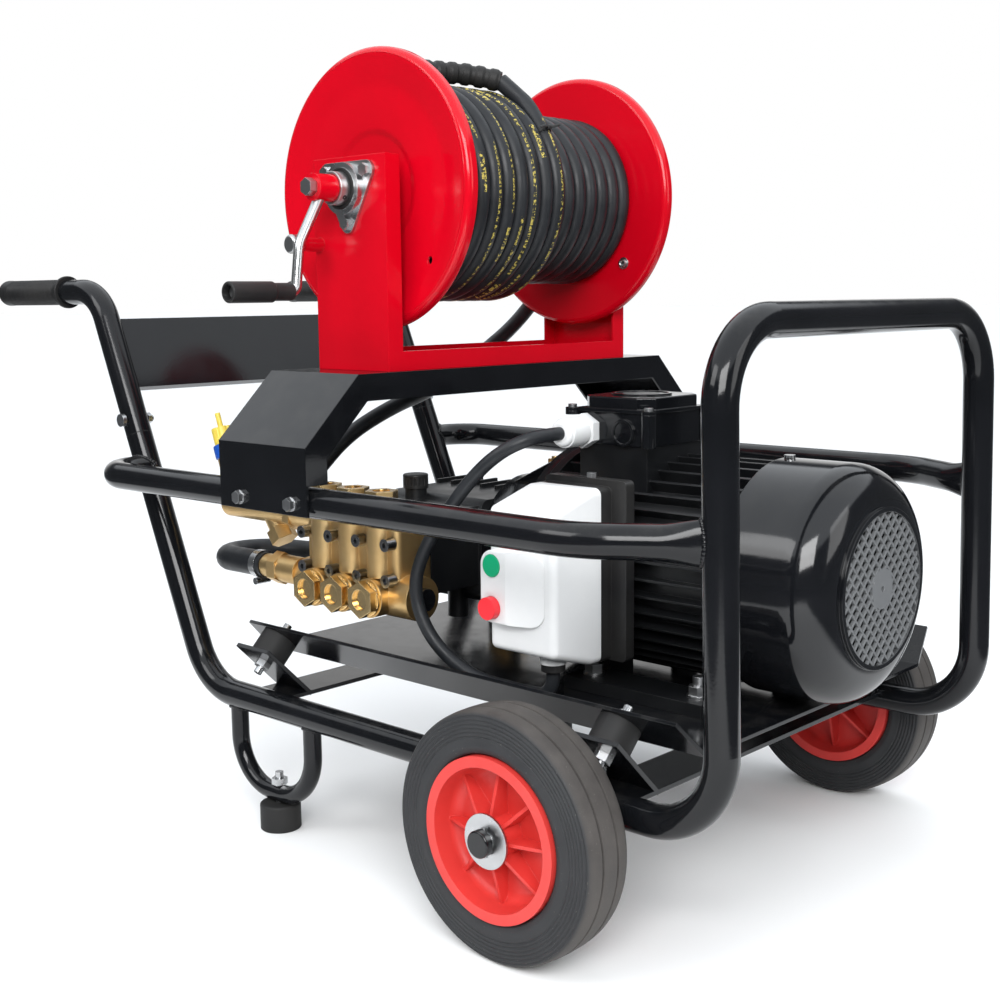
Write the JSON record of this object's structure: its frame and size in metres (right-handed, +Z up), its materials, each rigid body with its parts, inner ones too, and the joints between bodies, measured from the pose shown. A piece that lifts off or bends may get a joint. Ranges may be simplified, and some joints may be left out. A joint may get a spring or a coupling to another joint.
{
  "type": "electric pressure washer",
  "caption": "Wheeled electric pressure washer: tube frame with push handle, finned motor and brass plunger pump on a damped tray, and a crank-wound hose reel on a bridge.",
  "frame": {"origin": "on the floor, under the middle of the machine's bounding box", "axes": "+X forward from the handle to the fan end, +Y to the far side, away from the pump head and the reel crank, +Z up"},
  "size_m": [1.2612, 0.756, 0.926],
  "materials": {
    "black_paint": "gloss black powder coat",
    "black_casting": "black painted casting",
    "red_paint": "gloss red powder coat",
    "red_rim": "moulded red rim",
    "tyre": "black tyre rubber",
    "rubber": "matt black rubber",
    "zinc": "zinc-plated steel",
    "steel": "bare turned steel",
    "brass": "cast and turned brass",
    "black_plastic": "moulded black plastic",
    "white_plastic": "moulded white plastic",
    "green_plastic": "moulded green plastic",
    "red_plastic": "moulded red plastic",
    "blue_plastic": "blue locking collar",
    "yellow_plastic": "yellow knob"
  },
  "bodies": {
    "frame": {"frame_tube": "black_paint", "mid_rails": "black_paint", "arms": "black_paint", "handle_panel": "black_paint", "foot_loops": "black_paint", "tray": "black_paint", "cross_members": "black_paint", "bridge": "black_paint", "fan_cowl": "black_paint", "bell_housing": "black_paint", "terminal_box": "black_paint", "terminal_lid": "black_paint", "motor_body": "black_casting", "crankcase": "black_casting", "reel_stand": "red_paint", "grips": "rubber", "foot_pads": "rubber", "buffers": "rubber", "feed_hose": "rubber", "suction_hose": "rubber", "cable": "rubber", "stud_nuts": "zinc", "axle": "zinc", "axle_retainers": "zinc", "bearing_housings": "zinc", "frame_bolts": "zinc", "motor_bolts": "zinc", "head_bolts": "zinc", "hose_clamps": "zinc", "stator": "steel", "pump_head": "brass", "valve_caps": "brass", "water_fittings": "brass", "regulator_body": "brass", "swivel": "brass", "starter_base": "black_plastic", "end_plugs": "black_plastic", "starter_cover": "white_plastic", "cable_gland": "white_plastic", "regulator_collar": "blue_plastic"},
    "wheel_near": {"tyre_near": "tyre", "rim_near": "red_rim"},
    "wheel_far": {"tyre_far": "tyre", "rim_far": "red_rim"},
    "reel": {"flange_near": "red_paint", "flange_far": "red_paint", "reel_drum": "red_paint", "hose_core": "rubber", "hose_wound": "rubber", "bend_restrictor": "rubber", "cable_tie": "black_plastic", "crank_rod": "zinc"},
    "crank_handle": {"crank_grip": "black_plastic"},
    "reel_brake": {"brake_screw": "zinc"},
    "start_button": {"button_green": "green_plastic"},
    "stop_button": {"button_red": "red_plastic"},
    "rotor": {"motor_shaft": "steel", "cooling_fan": "black_plastic"},
    "pressure_knob": {"regulator_knob": "yellow_plastic"},
    "oil_filler_cap": {"oil_cap": "black_plastic"}
  },
  "joints": [
    {"name": "near_wheel_spin", "type": "hinge", "parent": "frame", "child": "wheel_near", "pos_m": [0.408, -0.30785, 0.127], "axis": [0, 1, 0], "continuous": true},
    {"name": "far_wheel_spin", "type": "hinge", "parent": "frame", "child": "wheel_far", "pos_m": [0.408, 0.33285, 0.127], "axis": [0, 1, 0], "continuous": true},
    {"name": "reel_spin", "type": "hinge", "parent": "frame", "child": "reel", "pos_m": [0.076, 0.0073, 0.767], "axis": [0, 1, 0], "continuous": true},
    {"name": "crank_grip_spin", "type": "hinge", "parent": "reel", "child": "crank_handle", "pos_m": [0.076, -0.34, 0.653], "axis": [0, 1, 0], "continuous": true},
    {"name": "brake_travel", "type": "slide", "parent": "frame", "child": "reel_brake", "axis": [0, 1, 0], "range_m": [0, 0.004]},
    {"name": "start_press", "type": "slide", "parent": "frame", "child": "start_button", "axis": [0, 1, 0], "range_m": [0, 0.0035], "stiffness_N_per_m": 300},
    {"name": "stop_press", "type": "slide", "parent": "frame", "child": "stop_button", "axis": [0, 1, 0], "range_m": [0, 0.0035], "stiffness_N_per_m": 300},
    {"name": "rotor_spin", "type": "hinge", "parent": "frame", "child": "rotor", "pos_m": [0.4, 0.0175, 0.3466], "axis": [1, 0, 0], "continuous": true},
    {"name": "pressure_turn", "type": "hinge", "parent": "frame", "child": "pressure_knob", "pos_m": [-0.18, -0.1825, 0.383], "axis": [-0.342, 0, 0.9397], "range_deg": [-360, 360]},
    {"name": "oil_cap_turn", "type": "hinge", "parent": "frame", "child": "oil_filler_cap", "pos_m": [0.026, -0.0625, 0.41], "axis": [0, 0, 1], "range_deg": [0, 360]}
  ]
}
